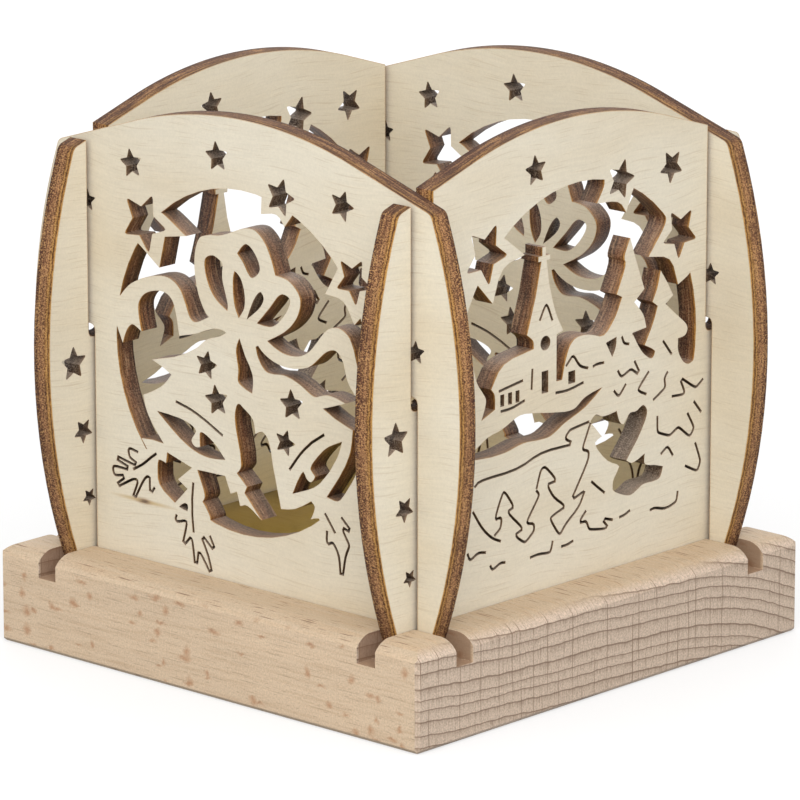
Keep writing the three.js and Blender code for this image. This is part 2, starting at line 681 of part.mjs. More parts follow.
const holder = new THREE.Group();
holder.add(piece('base_block', geometryOf(baseBlock()), beech));
holder.add(floorPlate());

const bellGeometry = geometryOf(bellPanel());
holder.add(standing(piece('bell_panel_front', bellGeometry, plywood), false, -GROOVE_OFFSET));
holder.add(standing(piece('bell_panel_rear', bellGeometry, plywood), false, GROOVE_OFFSET));

const churchGeometry = geometryOf(churchPanel());
holder.add(standing(piece('church_panel_right', churchGeometry, plywood), true, GROOVE_OFFSET));
holder.add(standing(piece('church_panel_left', churchGeometry, plywood), true, -GROOVE_OFFSET));

export default holder;
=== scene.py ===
"""Bell tealight holder: pierced birch panels on a grooved beech block, over a brass plate."""

import logging
import math
from dataclasses import dataclass
from enum import Enum
from typing import Optional, Union

import bpy
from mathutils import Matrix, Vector

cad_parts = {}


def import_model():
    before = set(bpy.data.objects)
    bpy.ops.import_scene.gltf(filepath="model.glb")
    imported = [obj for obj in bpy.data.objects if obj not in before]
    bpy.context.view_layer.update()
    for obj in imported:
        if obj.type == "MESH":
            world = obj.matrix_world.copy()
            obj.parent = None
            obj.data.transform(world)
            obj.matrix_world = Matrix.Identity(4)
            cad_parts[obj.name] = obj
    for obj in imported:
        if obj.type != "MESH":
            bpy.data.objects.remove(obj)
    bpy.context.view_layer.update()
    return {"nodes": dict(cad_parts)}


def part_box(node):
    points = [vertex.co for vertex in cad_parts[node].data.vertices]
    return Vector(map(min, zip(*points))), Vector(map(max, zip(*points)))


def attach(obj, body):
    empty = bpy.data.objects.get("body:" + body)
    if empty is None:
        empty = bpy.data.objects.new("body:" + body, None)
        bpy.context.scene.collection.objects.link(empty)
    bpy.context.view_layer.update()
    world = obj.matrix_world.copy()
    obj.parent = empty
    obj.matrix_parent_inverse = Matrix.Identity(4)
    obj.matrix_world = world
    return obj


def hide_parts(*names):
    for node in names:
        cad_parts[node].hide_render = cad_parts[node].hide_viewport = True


LOG = logging.getLogger("tealight_holder")
MM = 0.001
WELD = 0.004 * MM
LEVEL = math.radians(0.5)
EDGE_STEPS = 2
NOISE_REACH = (0.3, 0.7)
SWAY_REACH = (0.2, 0.8)
WHITE = (1.0, 1.0, 1.0, 1.0)
OUTSIDE = "outside_cut"

Socket = bpy.types.NodeSocket
Colour = tuple[float, float, float]
Value = Union[Socket, float, tuple]
Stops = tuple[tuple[float, Colour], ...]


def paint(red: int, green: int, blue: int) -> Colour:
    """Linear colour of a tone as it looks on a screen, each part 0 to 255."""
    return tuple(((part / 255 + 0.055) / 1.055) ** 2.4 for part in (red, green, blue))


class Facing(Enum):
    """The way a panel's drawn side looks; the value is the index of the axis through its plies."""

    FRONT = 1
    RIGHT = 0


class Layer(Enum):
    """Material slots of a panel, in order."""

    FACE = 0
    RIM = 1
    HOLE = 2
    SMALL = 3


@dataclass(frozen=True)
class Flecks:
    """Scattered oval flecks, one in some of the cells of a ragged net.

    Args:
        cell: width and height of a cell in metres.
        half: half the width and height of the largest fleck in metres.
        share: share of the cells that hold one.
        strength: share of its own tint in the middle of a fleck.
        soft: share of its half size over which a fleck fades.
        least: size of the smallest fleck, as a share of the largest.
    """

    cell: tuple[float, float]
    half: tuple[float, float]
    share: float
    strength: float
    soft: float = 0.6
    least: float = 0.5


class NodeGraph:
    """One material and short ways to add and link its nodes."""

    def __init__(self, name: str) -> None:
        """Starts a material with its principled shader.

        Args:
            name: name of the material.
        """
        self.material = bpy.data.materials.new(name)
        self.material.use_nodes = True
        self.tree = self.material.node_tree
        self.shader = self.tree.nodes["Principled BSDF"]

    def feed(self, socket: Socket, value: Value) -> None:
        """Links a socket to another, or sets its own value.

        Args:
            socket: the input socket.
            value: an output socket, a number, or a tuple of numbers.
        """
        if isinstance(value, bpy.types.NodeSocket):
            self.tree.links.new(value, socket)
        elif isinstance(value, tuple) and len(value) == 3 and socket.type == "RGBA":
            socket.default_value = (*value, 1.0)
        else:
            socket.default_value = value

    def add(self, kind: str, feeds: dict, **settings: object) -> bpy.types.Node:
        """Adds a node.

        Args:
            kind: node type.
            feeds: socket name or index to value.
            settings: properties of the node.

        Returns:
            The new node.
        """
        node = self.tree.nodes.new(kind)
        for key, setting in settings.items():
            setattr(node, key, setting)
        for key, value in feeds.items():
            self.feed(node.inputs[key], value)
        return node

    def place(self) -> Socket:
        """Object coordinates, in metres in the holder's frame."""
        return self.add("ShaderNodeTexCoord", {}).outputs["Object"]

    def normal(self) -> Socket:
        """The face's own normal."""
        return self.add("ShaderNodeNewGeometry", {}).outputs["True Normal"]

    def parts(self, vector: Socket) -> list[Socket]:
        """X, Y and Z of a vector."""
        return list(self.add("ShaderNodeSeparateXYZ", {0: vector}).outputs)

    def joined(self, x: Value, y: Value, z: Value) -> Socket:
        """A vector from its three parts."""
        return self.add("ShaderNodeCombineXYZ", {0: x, 1: y, 2: z}).outputs[0]

    def vectors(self, operation: str, *vectors: Value) -> bpy.types.bpy_prop_collection:
        """Outputs of a vector math node on one or two vectors."""
        feeds = dict(enumerate(vectors))
        return self.add("ShaderNodeVectorMath", feeds, operation=operation).outputs

    def stretched(self, vector: Socket, scale: tuple) -> Socket:
        """A vector with each part scaled by its own factor."""
        return self.vectors("MULTIPLY", vector, scale)[0]

    def shifted(self, vector: Socket, offset: Value) -> Socket:
        """A vector with another added to it."""
        return self.vectors("ADD", vector, offset)[0]

    def length(self, vector: Socket) -> Socket:
        """Length of a vector."""
        return self.vectors("LENGTH", vector)["Value"]

    def maths(
        self, operation: str, first: Value, second: Value = 0.0, held: bool = False
    ) -> Socket:
        """Result of a math node on one or two values, held between 0 and 1 if asked."""
        feeds = {0: first, 1: second}
        return self.add("ShaderNodeMath", feeds, operation=operation, use_clamp=held).outputs[0]

    def times(self, first: Value, second: Value) -> Socket:
        """Product of two values."""
        return self.maths("MULTIPLY", first, second)

    def plus(self, first: Value, second: Value) -> Socket:
        """Sum of two values."""
        return self.maths("ADD", first, second)

    def minus(self, first: Value, second: Value) -> Socket:
        """Difference of two values."""
        return self.maths("SUBTRACT", first, second)

    def size(self, value: Value) -> Socket:
        """A value without its sign."""
        return self.maths("ABSOLUTE", value)

    def noise(
        self, vector: Socket, scale: float, detail: float = 2.0, rough: float = 0.5
    ) -> Socket:
        """Grey noise around one half, its scale in features per unit of the vector."""
        feeds = {"Vector": vector, "Scale": scale, "Detail": detail, "Roughness": rough}
        return self.add("ShaderNodeTexNoise", feeds).outputs["Fac"]

    def grain(
        self, vector: Socket, scale: tuple, detail: float = 2.0, rough: float = 0.5
    ) -> Socket:
        """Grey noise with its own scale along X, Y and Z."""
        return self.noise(self.stretched(vector, scale), 1.0, detail, rough)

    def span(self, value: Value, low: float, high: float, to: tuple = (0.0, 1.0)) -> Socket:
        """A value's stretch from low to high, brought to another stretch and held at its ends."""
        feeds = {0: value, 1: low, 2: high, 3: to[0], 4: to[1]}
        return self.add("ShaderNodeMapRange", feeds, clamp=True).outputs[0]

    def ramp(self, value: Socket, stops: Stops) -> Socket:
        """Colours along a value.

        Args:
            value: position on the ramp, 0 to 1.
            stops: position and colour of each stop.

        Returns:
            The colour there.
        """
        node = self.add("ShaderNodeValToRGB", {0: value})
        elements = node.color_ramp.elements
        while len(elements) < len(stops):
            elements.new(1.0)
        for element, (position, colour) in zip(elements, stops):
            element.position = position
            element.color = (*colour, 1.0)
        return node.outputs["Color"]

    def mixed(self, share: Value, first: Value, second: Value, blend: str = "MIX") -> Socket:
        """Mixes two colours.

        Args:
            share: share of the second.
            first: the first colour.
            second: the second colour.
            blend: how the second goes over the first.

        Returns:
            The mixed colour.
        """
        feeds = {0: share, 6: first, 7: second}
        node = self.add("ShaderNodeMix", feeds, data_type="RGBA", blend_type=blend)
        return node.outputs[2]

    def swing(self, grey: Socket, low: float, high: float) -> Socket:
        """A grey noise, its usual reach brought to another stretch."""
        return self.span(grey, *NOISE_REACH, (low, high))

    def sway(self, grey: Socket, most: float) -> Socket:
        """A grey noise as a sway by up to the given length to both sides."""
        return self.span(grey, *SWAY_REACH, (-most, most))

    def toned(self, colour: Value, grey: Socket, light: float, dark: float) -> Socket:
        """A colour made lighter or darker by a grey noise, times the factors at its two ends."""
        factor = self.swing(grey, light, dark)
        return self.mixed(1.0, colour, self.joined(factor, factor, factor), "MULTIPLY")

    def marks(self, flat: Socket, flecks: Flecks) -> Socket:
        """Draws scattered flecks.

        Args:
            flat: where they are read, in metres, as X and Y of a vector.
            flecks: their sizes and how many there are.

        Returns:
            0 beside a fleck to 1 in its middle.
        """
        (width, height), half = flecks.cell, flecks.half
        net = self.stretched(flat, (1 / width, 1 / height, 0.0))
        feeds = {"Vector": net, "Scale": 1.0}
        spots = self.add("ShaderNodeTexVoronoi", feeds, voronoi_dimensions="2D").outputs
        away = self.vectors("SUBTRACT", net, spots["Position"])[0]
        away = self.stretched(away, (width / half[0], height / half[1], 0.0))
        pick, size, _ = self.parts(spots["Color"])
        grown = self.span(size, 0.0, 1.0, (flecks.least, 1.0))
        reach = self.maths("DIVIDE", self.length(away), grown)
        inside = self.span(reach, 1.0, 1.0 - flecks.soft)
        return self.times(inside, self.maths("LESS_THAN", pick, flecks.share))

    def flecked(self, colour: Value, flat: Socket, flecks: Flecks, tint: Colour) -> Socket:
        """A colour with flecks of a tint on it."""
        return self.mixed(self.times(self.marks(flat, flecks), flecks.strength), colour, tint)

    def bumped(self, height: Socket, depth: float, strength: float) -> None:
        """Gives the shader a bump: its full depth in metres, and the share of it that shows."""
        feeds = {"Height": height, "Distance": depth, "Strength": strength}
        self.feed(self.shader.inputs["Normal"], self.add("ShaderNodeBump", feeds).outputs[0])

    def finish(self, colour: Value, rough: Value, metallic: float = 0.0) -> bpy.types.Material:
        """Sets the shader's main sockets.

        Args:
            colour: base colour.
            rough: roughness.
            metallic: 1 for bare metal.

        Returns:
            The finished material.
        """
        self.feed(self.shader.inputs["Base Color"], colour)
        self.feed(self.shader.inputs["Roughness"], rough)
        self.shader.inputs["Metallic"].default_value = metallic
        return self.material


def grain_scale(facing: Facing, along: float, through: float, up: float) -> tuple:
    """Factors along a panel, through its plies and upwards, put in the order of the axes."""
    return (along, through, up) if facing is Facing.FRONT else (through, along, up)


@dataclass(frozen=True)
class PinKnot:
    """A small knot in the veneer of a panel's drawn side, with the grain stained beside it."""

    along: float
    up: float
    heart: Colour = paint(84, 66, 54)
    ring: Colour = paint(156, 124, 92)
    stain: Colour = paint(190, 162, 108)
    heart_half: tuple = (1.7 * MM, 0.4 * MM)
    ring_half: tuple = (2.5 * MM, 0.8 * MM)
    stain_half: tuple = (9 * MM, 0.55 * MM)

    def drawn_on(self, graph: NodeGraph, flat: Socket, side: Socket, colour: Socket) -> Socket:
        """Draws the knot over a veneer.

        Args:
            graph: the material's nodes.
            flat: place along and up the panel, as X and Y.
            side: 1 on the drawn side of the panel and 0 on its back.
            colour: the veneer.

        Returns:
            The veneer with its knot.
        """
        streak = graph.span(graph.grain(flat, (500, 5200, 0)), 0.3, 0.6, (0.35, 1.0))
        streak = graph.times(streak, side)
        tails = self.spot(graph, flat, self.stain_half, 0.75)
        ring = self.spot(graph, flat, self.ring_half, 0.85)
        heart = self.spot(graph, flat, self.heart_half, 1.0)
        colour = graph.mixed(graph.times(tails, side), colour, self.stain)
        colour = graph.mixed(graph.times(ring, streak), colour, self.ring)
        return graph.mixed(graph.times(heart, streak), colour, self.heart)

    def spot(self, graph: NodeGraph, flat: Socket, half: tuple, share: float) -> Socket:
        """A soft oval on the knot.

        Args:
            graph: the material's nodes.
            flat: place along and up the panel, as X and Y.
            half: half its width and height in metres.
            share: value at its middle.

        Returns:
            0 beside the oval to the share at its middle.
        """
        away = graph.shifted(flat, (-self.along, -self.up, 0.0))
        away = graph.stretched(away, (1 / half[0], 1 / half[1], 0.0))
        return graph.span(graph.length(away), 1.0, 0.3, (0.0, share))


@dataclass(frozen=True)
class BirchFace:
    """Bare birch veneer: cream, with short level grain and a thin golden scorch beside the cuts."""

    pale: Colour = paint(223, 214, 194)
    deep: Colour = paint(216, 203, 178)
    vessel: Colour = paint(182, 160, 126)
    scorch: Colour = paint(182, 132, 62)
    scorch_reach: float = 0.45 * MM
    short_vessels: Flecks = Flecks((7 * MM, 0.55 * MM), (3 * MM, 0.10 * MM), 0.5, 0.28)
    long_vessels: Flecks = Flecks((13 * MM, 1.7 * MM), (6 * MM, 0.17 * MM), 0.4, 0.26)
    swerve: float = 1.6 * MM
    apart: float = 9.0
    relief: float = 0.04 * MM
    rough: float = 0.6

    def material(self, facing: Facing, name: str, knot: Optional[PinKnot]) -> bpy.types.Material:
        """Makes the finish for the two faces of one panel.

        Args:
            facing: the way the panel looks.
            name: name of the panel.
            knot: a knot on its drawn side, if it has one.

        Returns:
            The material.
        """
        graph = NodeGraph(f"birch_face_{name}")
        place = graph.place()
        parts = graph.parts(place)
        along, through, up = parts[1 - facing.value], parts[facing.value], parts[2]
        swerve = graph.grain(place, grain_scale(facing, 45, 45, 30), 1.0)
        level = graph.plus(up, graph.sway(swerve, self.swerve))
        apart = graph.times(through, self.apart)
        flat = graph.joined(graph.plus(along, apart), graph.plus(level, apart), 0.0)
        cloud = graph.grain(place, grain_scale(facing, 20, 70, 55), 3.0)
        fine = graph.grain(flat, (130, 1900, 0), 2.0, 0.6)
        speck = graph.noise(place, 2600, 1.0)
        colour = graph.mixed(graph.span(cloud, 0.38, 0.68), self.pale, self.deep)
        colour = graph.toned(colour, fine, 1.025, 0.955)
        colour = graph.toned(colour, speck, 1.03, 0.97)
        for vessels in (self.short_vessels, self.long_vessels):
            colour = graph.flecked(colour, flat, vessels, self.vessel)
        if knot:
            middle = sum(corner[facing.value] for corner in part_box(name)) / 2
            before = "LESS_THAN" if facing is Facing.FRONT else "GREATER_THAN"
            drawn = graph.maths(before, through, middle)
            colour = knot.drawn_on(graph, graph.joined(along, up, 0.0), drawn, colour)
        colour = graph.mixed(self.beside_cuts(graph), colour, self.scorch)
        graph.bumped(fine, self.relief, 0.5)
        return graph.finish(colour, self.rough)

    def beside_cuts(self, graph: NodeGraph) -> Socket:
        """How scorched a point is, from 0 to 1.

        Args:
            graph: the material's nodes.

        Returns:
            A value that is highest along the outside cut, and 0 away from the edges.
        """
        feeds = {"Radius": self.scorch_reach}
        rounded = graph.add("ShaderNodeBevel", feeds, samples=6).outputs[0]
        level = graph.vectors("DOT_PRODUCT", rounded, graph.normal())["Value"]
        outside = graph.add("ShaderNodeAttribute", {}, attribute_name=OUTSIDE).outputs["Fac"]
        most = graph.span(outside, 0.3, 0.8, (0.15, 0.75))
        return graph.times(graph.span(level, 0.99, 0.78), most)


@dataclass(frozen=True)
class ScorchedEdge:
    """Laser-cut plywood edge: plies and glue lines in speckled browns, sootier towards the back,
    with painted sheen on cuts that look up.

    Args:
        name: first part of the material's name.
        plies: colours from the drawn side to the back.
        soot: colour of the burnt specks and lines.
        ash: colour of the pale specks and lines.
        painted_sheen: colour of the painted sheen, a lighter grey where a cut looks up.
        ashy: share of ash in a pale speck.
        sooty: share of soot in a dark speck.
        lined: share of ash or soot in a line along the plies.
        sheen_share: share of the painted sheen where a cut looks up.
        smoked: share of soot where a cut looks up.
        rough: roughness.
        shine: specular level.
        wander: how far the plies stray, as a share of the panel's thickness.
        relief: depth of the burnt grit.
    """

    name: str
    plies: Stops
    soot: Colour
    ash: Colour
    painted_sheen: Colour
    ashy: float
    sooty: float
    lined: float
    sheen_share: float = 0.0
    smoked: float = 0.0
    rough: float = 0.5
    shine: float = 0.3
    wander: float = 0.04
    relief: float = 0.08 * MM

    def material(self, facing: Facing, node: str) -> bpy.types.Material:
        """Makes the finish for the cuts of one panel.

        Args:
            facing: the way the panel looks.
            node: name of the panel.

        Returns:
            The material.
        """
        graph = NodeGraph(f"{self.name}_{node}")
        place = graph.place()
        axis = facing.value
        low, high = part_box(node)
        drawn, back = (low, high) if facing is Facing.FRONT else (high, low)
        wander = graph.swing(graph.noise(place, 800), -self.wander, self.wander)
        depth = graph.span(graph.parts(place)[axis], drawn[axis], back[axis])
        depth = graph.maths("ADD", depth, wander, held=True)
        colour = graph.ramp(depth, self.plies)
        grit = graph.grain(place, grain_scale(facing, 4600, 3000, 4600), 2.0, 0.7)
        lines = graph.grain(place, grain_scale(facing, 150, 2300, 150), 2.0, 0.6)
        behind = graph.span(depth, 0.15, 0.32, (0.5, 1.0))
        layers = (
            (lines, 0.46, 0.32, self.lined, self.ash),
            (lines, 0.50, 0.64, self.lined, self.soot),
            (grit, 0.48, 0.38, self.ashy, self.ash),
            (grit, 0.51, 0.61, self.sooty, self.soot),
        )
        for grey, none, full, most, tint in layers:
            share = graph.times(graph.span(grey, none, full, (0.0, most)), behind)
            colour = graph.mixed(share, colour, tint)
        patch = graph.span(graph.noise(place, 190), 0.45, 0.75, (0.0, 0.3))
        colour = graph.mixed(patch, colour, self.soot)
        # Painted sheen: cuts that look up are lightened towards grey, standing in for light from
        # above.
        rise = graph.parts(graph.normal())[2]
        painted_sheen = graph.times(graph.span(grit, 0.64, 0.44, (0.5, 1.0)), self.sheen_share)
        painted_sheen = graph.times(graph.span(rise, 0.2, 0.95), painted_sheen)
        colour = graph.mixed(painted_sheen, colour, self.painted_sheen)
        smoke = graph.span(rise, 0.2, 0.9, (0.0, self.smoked))
        smoke = graph.times(smoke, graph.span(lines, 0.36, 0.6, (0.5, 1.3)))
        colour = graph.mixed(smoke, colour, self.soot)
        graph.bumped(grit, self.relief, 0.7)
        graph.shader.inputs["Specular IOR Level"].default_value = self.shine
        return graph.finish(colour, self.rough)


RIM_EDGE = ScorchedEdge(
    name="rim_cut",
    plies=(
        (0.00, paint(202, 156, 86)),
        (0.05, paint(184, 132, 60)),
        (0.09, paint(96, 58, 26)),
        (0.14, paint(96, 59, 28)),
        (0.19, paint(190, 142, 76)),
        (0.26, paint(174, 126, 68)),
        (0.32, paint(124, 80, 44)),
        (0.40, paint(158, 112, 75)),
        (0.58, paint(150, 105, 73)),
        (0.74, paint(122, 80, 56)),
        (0.84, paint(90, 56, 42)),
        (1.00, paint(66, 42, 37)),
    ),
    soot=paint(60, 34, 24),
    ash=paint(206, 160, 104),
    painted_sheen=paint(206, 160, 104),
    ashy=0.75,
    sooty=0.85,
    lined=0.55,
    smoked=0.62,
    rough=0.68,
    shine=0.2,
)

HOLE_WALL = ScorchedEdge(
    name="hole_cut",
    plies=(
        (0.00, paint(204, 154, 84)),
        (0.07, paint(182, 126, 56)),
        (0.12, paint(100, 62, 32)),
        (0.18, paint(154, 105, 58)),
        (0.28, paint(130, 84, 50)),
        (0.50, paint(118, 75, 50)),
        (0.75, paint(98, 64, 47)),
        (1.00, paint(68, 47, 41)),
    ),
    soot=paint(46, 31, 25),
    ash=paint(172, 138, 106),
    # Painted sheen on the hole walls that look up.
    painted_sheen=paint(158, 141, 125),
    ashy=0.4,
    sooty=0.75,
    lined=0.85,
    sheen_share=0.45,
)

SMALL_WALL = ScorchedEdge(
    name="small_cut",
    plies=(
        (0.00, paint(148, 118, 84)),
        (0.08, paint(116, 90, 66)),
        (0.30, paint(102, 80, 61)),
        (0.60, paint(94, 73, 58)),
        (1.00, paint(72, 56, 47)),
    ),
    soot=paint(44, 33, 28),
    ash=paint(184, 164, 142),
    # Painted sheen on the small cut walls that look up.
    painted_sheen=paint(176, 160, 144),
    ashy=0.6,
    sooty=0.75,
    lined=0.5,
    sheen_share=0.6,
)


@dataclass(frozen=True)
class Beech:
    """Sanded beech, its grain along X: flecked sides, a streaky top darkened as painted shade, and
    ringed end grain.
    """

    side: Colour = paint(212, 188, 159)
    # Darker than the sides: painted shade on the top and its rounded edges.
    top: Colour = paint(188, 167, 141)
    end: Colour = paint(201, 180, 160)
    streak: Colour = paint(184, 154, 121)
    dash: Colour = paint(108, 74, 48)
    ray: Colour = paint(176, 129, 92)
    ray_rim: Colour = paint(140, 98, 66)
    ring: Colour = paint(122, 98, 78)
    sawn_and_shaded: Colour = paint(140, 108, 84)
    side_lines: Flecks = Flecks((8 * MM, 1.0 * MM), (3.8 * MM, 0.12 * MM), 0.5, 0.32)
    side_ticks: Flecks = Flecks((2.4 * MM, 0.7 * MM), (0.8 * MM, 0.11 * MM), 0.5, 0.3)
    tall_rays: Flecks = Flecks((5.6 * MM, 3.8 * MM), (1.3 * MM, 1.6 * MM), 0.42, 0.8, 0.9)
    wide_rays: Flecks = Flecks((6.3 * MM, 3.1 * MM), (2.0 * MM, 0.75 * MM), 0.45, 0.75, 0.9)
    short_dashes: Flecks = Flecks((4.5 * MM, 0.75 * MM), (1.5 * MM, 0.13 * MM), 0.5, 0.55)
    long_dashes: Flecks = Flecks((10 * MM, 1.6 * MM), (2.6 * MM, 0.2 * MM), 0.45, 0.85)
    end_hairs: Flecks = Flecks((1.2 * MM, 6 * MM), (0.1 * MM, 4 * MM), 0.5, 0.45, 0.5)
    end_rays: Flecks = Flecks((3.1 * MM, 26 * MM), (0.14 * MM, 19 * MM), 0.8, 0.9, 0.5)
    ragged: float = 0.4 * MM
    ring_pitch: float = 2.15 * MM
    ring_slope: float = 0.065
    ring_drift: float = 0.9 * MM
    ring_ripple: float = 0.14 * MM
    ring_years: float = 0.6 * MM
    year_rate: float = 210.0
    dip_start: float = 18 * MM
    dip: float = 5.5
    groove_ends: tuple = (49.8 * MM, 49.2 * MM)
    bed_top: tuple = (13.7 * MM, 13.5 * MM)
    bed_low: tuple = (12 * MM, 13 * MM)
    sawn_shade_share: float = 0.7
    relief: float = 0.03 * MM
    rough: float = 0.58

    def material(self) -> bpy.types.Material:
        """Makes the finish.

        Returns:
            The material.
        """
        graph = NodeGraph("beech")
        place = graph.place()
        endways, _, level = [graph.size(part) for part in graph.parts(graph.normal())]
        fine = graph.grain(place, (85, 1300, 1500), 3.0, 0.6)
        speck = graph.noise(place, 3000, 1.0)
        colour = self.side_grain(graph, place, fine)
        colour = graph.mixed(graph.span(level, 0.3, 0.8), colour, self.top_grain(graph, place))
        colour = graph.toned(colour, speck, 1.10, 0.88)
        end = self.end_grain(graph, place, speck)
        colour = graph.mixed(graph.span(endways, 0.35, 0.75), colour, end)
        # Groove walls and bed take a darker tone: bare saw cut and painted shade in the recess.
        colour = graph.mixed(self.inside_grooves(graph, place, level), colour, self.sawn_and_shaded)
        graph.bumped(graph.plus(fine, speck), self.relief, 0.5)
        return graph.finish(colour, self.rough)

    def side_grain(self, graph: NodeGraph, place: Socket, fine: Socket) -> Socket:
        """Sides along the grain: fine streaks and scattered ray flecks with darker rims.

        Args:
            graph: the material's nodes.
            place: object coordinates.
            fine: the fine streaks.

        Returns:
            The colour.
        """
        broad = graph.grain(place, (22, 160, 230))
        colour = graph.mixed(graph.span(fine, 0.45, 0.72, (0.0, 0.5)), self.side, self.streak)
        colour = graph.toned(colour, broad, 1.04, 0.94)
        along, _, up = graph.parts(place)
        flat = graph.joined(along, up, 0.0)
        for lines in (self.side_lines, self.side_ticks):
            colour = graph.flecked(colour, flat, lines, self.ring)
        ragged = graph.swing(graph.noise(place, 700, 3.0), -self.ragged, self.ragged)
        flat = graph.joined(graph.plus(along, ragged), graph.minus(up, ragged), 0.0)
        for rays in (self.tall_rays, self.wide_rays):
            colour = graph.flecked(colour, flat, rays, self.ray)
        rim = graph.span(graph.marks(flat, self.wide_rays), 0.3, 0.9, (0.0, 0.6))
        rim = graph.times(rim, graph.span(ragged, 0.0, self.ragged))
        return graph.mixed(rim, colour, self.ray_rim)

    def top_grain(self, graph: NodeGraph, place: Socket) -> Socket:
        """Top and rounded edges: soft streaks and thin dark dashes along the grain, on a tone
        darkened as painted shade.

        Args:
            graph: the material's nodes.
            place: object coordinates.

        Returns:
            The colour.
        """
        fine = graph.grain(place, (55, 1000, 1000), 3.0, 0.6)
        colour = graph.mixed(graph.span(fine, 0.42, 0.74, (0.0, 0.6)), self.top, self.streak)
        along, aside, up = graph.parts(place)
        flat = graph.joined(along, graph.minus(up, graph.size(aside)), 0.0)
        for dashes in (self.short_dashes, self.long_dashes):
            colour = graph.flecked(colour, flat, dashes, self.dash)
        return colour

    def end_grain(self, graph: NodeGraph, place: Socket, speck: Socket) -> Socket:
        """Ends: growth rings that dip towards the rear, crossed by thin upright rays.

        Args:
            graph: the material's nodes.
            place: object coordinates.
            speck: fine speckle.

        Returns:
            The colour.
        """
        _, aside, up = graph.parts(place)
        flat = graph.joined(aside, up, 0.0)
        past = graph.maths("MAXIMUM", graph.minus(aside, self.dip_start), 0.0)
        dip = graph.times(graph.times(past, past), self.dip)
        level = graph.plus(up, graph.times(aside, self.ring_slope))
        drift = graph.sway(graph.noise(flat, 30), self.ring_drift)
        ripple = graph.sway(graph.noise(flat, 420, 1.0), self.ring_ripple)
        rings = graph.plus(graph.plus(level, dip), graph.plus(drift, ripple))
        years = graph.joined(graph.times(rings, self.year_rate), 0.0, 0.0)
        rings = graph.plus(rings, graph.sway(graph.noise(years, 1.0, 0.0), self.ring_years))
        phase = graph.maths("FRACT", graph.maths("DIVIDE", rings, self.ring_pitch))
        fan = graph.joined(graph.plus(aside, graph.times(drift, 0.6)), up, 0.0)
        hatch = graph.span(graph.grain(fan, (2900, 420, 0)), 0.45, 0.68)
        hatch = graph.times(hatch, graph.span(phase, 0.35, 1.0, (0.15, 0.6)))
        late = graph.span(phase, 0.45, 1.0, (0.0, 0.3))
        line = graph.span(phase, 0.86, 0.93, (0.0, 0.8))
        colour = graph.toned(self.end, speck, 1.18, 0.78)
        for share in (late, hatch, line):
            colour = graph.mixed(share, colour, self.ring)
        for rays in (self.end_hairs, self.end_rays):
            colour = graph.flecked(colour, fan, rays, self.ring)
        return colour

    def inside_grooves(self, graph: NodeGraph, place: Socket, level: Socket) -> Socket:
        """Where a groove's walls and bed lie, from 0 to 1: bare saw cut, darkened further as
        painted shade in the recess.

        Args:
            graph: the material's nodes.
            place: object coordinates.
            level: how far the surface lies level, 0 to 1.

        Returns:
            The share of the darker tone, part saw cut and part painted shade.
        """
        along, aside, up = graph.parts(place)
        outer = graph.maths("MAXIMUM", graph.size(along), graph.size(aside))
        wall = graph.times(graph.span(outer, *self.groove_ends), graph.span(level, 0.4, 0.2))
        bed = graph.times(graph.span(up, *self.bed_top), graph.span(up, *self.bed_low))
        bed = graph.times(bed, graph.span(level, 0.7, 0.9))
        return graph.times(graph.maths("MAXIMUM", wall, bed), self.sawn_shade_share)


@dataclass(frozen=True)
class BrassSheet:
    """Thin rolled brass with a faint drawn line and a few dull clouds."""

    bright: Colour = paint(208, 184, 78)
    dull: Colour = paint(190, 164, 66)
    rough: tuple = (0.16, 0.27)
    relief: float = 0.01 * MM

    def material(self) -> bpy.types.Material:
        """Makes the finish.

        Returns:
            The material.
        """
        graph = NodeGraph("brass_sheet")
        place = graph.place()
        drawn = graph.grain(place, (60, 2600, 60), 3.0, 0.6)
        cloud = graph.noise(place, 70, 3.0)
        colour = graph.mixed(graph.span(cloud, 0.35, 0.7), self.bright, self.dull)
        graph.bumped(drawn, self.relief, 0.3)
        return graph.finish(colour, graph.swing(drawn, *self.rough), 1.0)


def only(piece: bpy.types.Object) -> None:
    """Deselects everything and makes one object the active one.

    Args:
        piece: the object.
    """
    for other in bpy.context.selected_objects:
        other.select_set(False)
    piece.select_set(True)
    bpy.context.view_layer.objects.active = piece


def applied(piece: bpy.types.Object, kind: str, **settings: object) -> None:
    """Adds a modifier to a piece and applies it.

    Args:
        piece: the object.
        kind: type of the modifier.
        settings: properties of the modifier.
    """
    only(piece)
    modifier = piece.modifiers.new(kind.lower(), kind)
    for key, setting in settings.items():
        setattr(modifier, key, setting)
    bpy.ops.object.modifier_apply(modifier=modifier.name)


def block(name: str, low: Vector, high: Vector) -> bpy.types.Object:
    """Adds a box between two corners, its place and size in its mesh.

    Args:
        name: name of the object.
        low: lowest corner.
        high: highest corner.

    Returns:
        The object.
    """
    bpy.ops.object.select_all(action="DESELECT")
    bpy.ops.mesh.primitive_cube_add(size=1.0, location=(low + high) / 2)
    made = bpy.context.active_object
    made.name = name
    made.scale = high - low
    bpy.ops.object.transform_apply(location=True, rotation=True, scale=True)
    return made


def merged_copy(source: bpy.types.Object, name: str) -> bpy.types.Object:
    """Copies a CAD node with its own mesh and joins the loose facets of the copy.

    Args:
        source: the node.
        name: name of the copy.

    Returns:
        The copy, active and selected alone, its level facets made one face.
    """
    made = bpy.data.objects.new(name, source.data.copy())
    bpy.context.scene.collection.objects.link(made)
    only(made)
    bpy.ops.object.mode_set(mode="EDIT")
    bpy.ops.mesh.select_all(action="SELECT")
    bpy.ops.mesh.remove_doubles(threshold=WELD)
    bpy.ops.mesh.dissolve_limited(angle_limit=LEVEL)
    bpy.ops.object.mode_set(mode="OBJECT")
    bpy.ops.mesh.customdata_custom_splitnormals_clear()
    return made


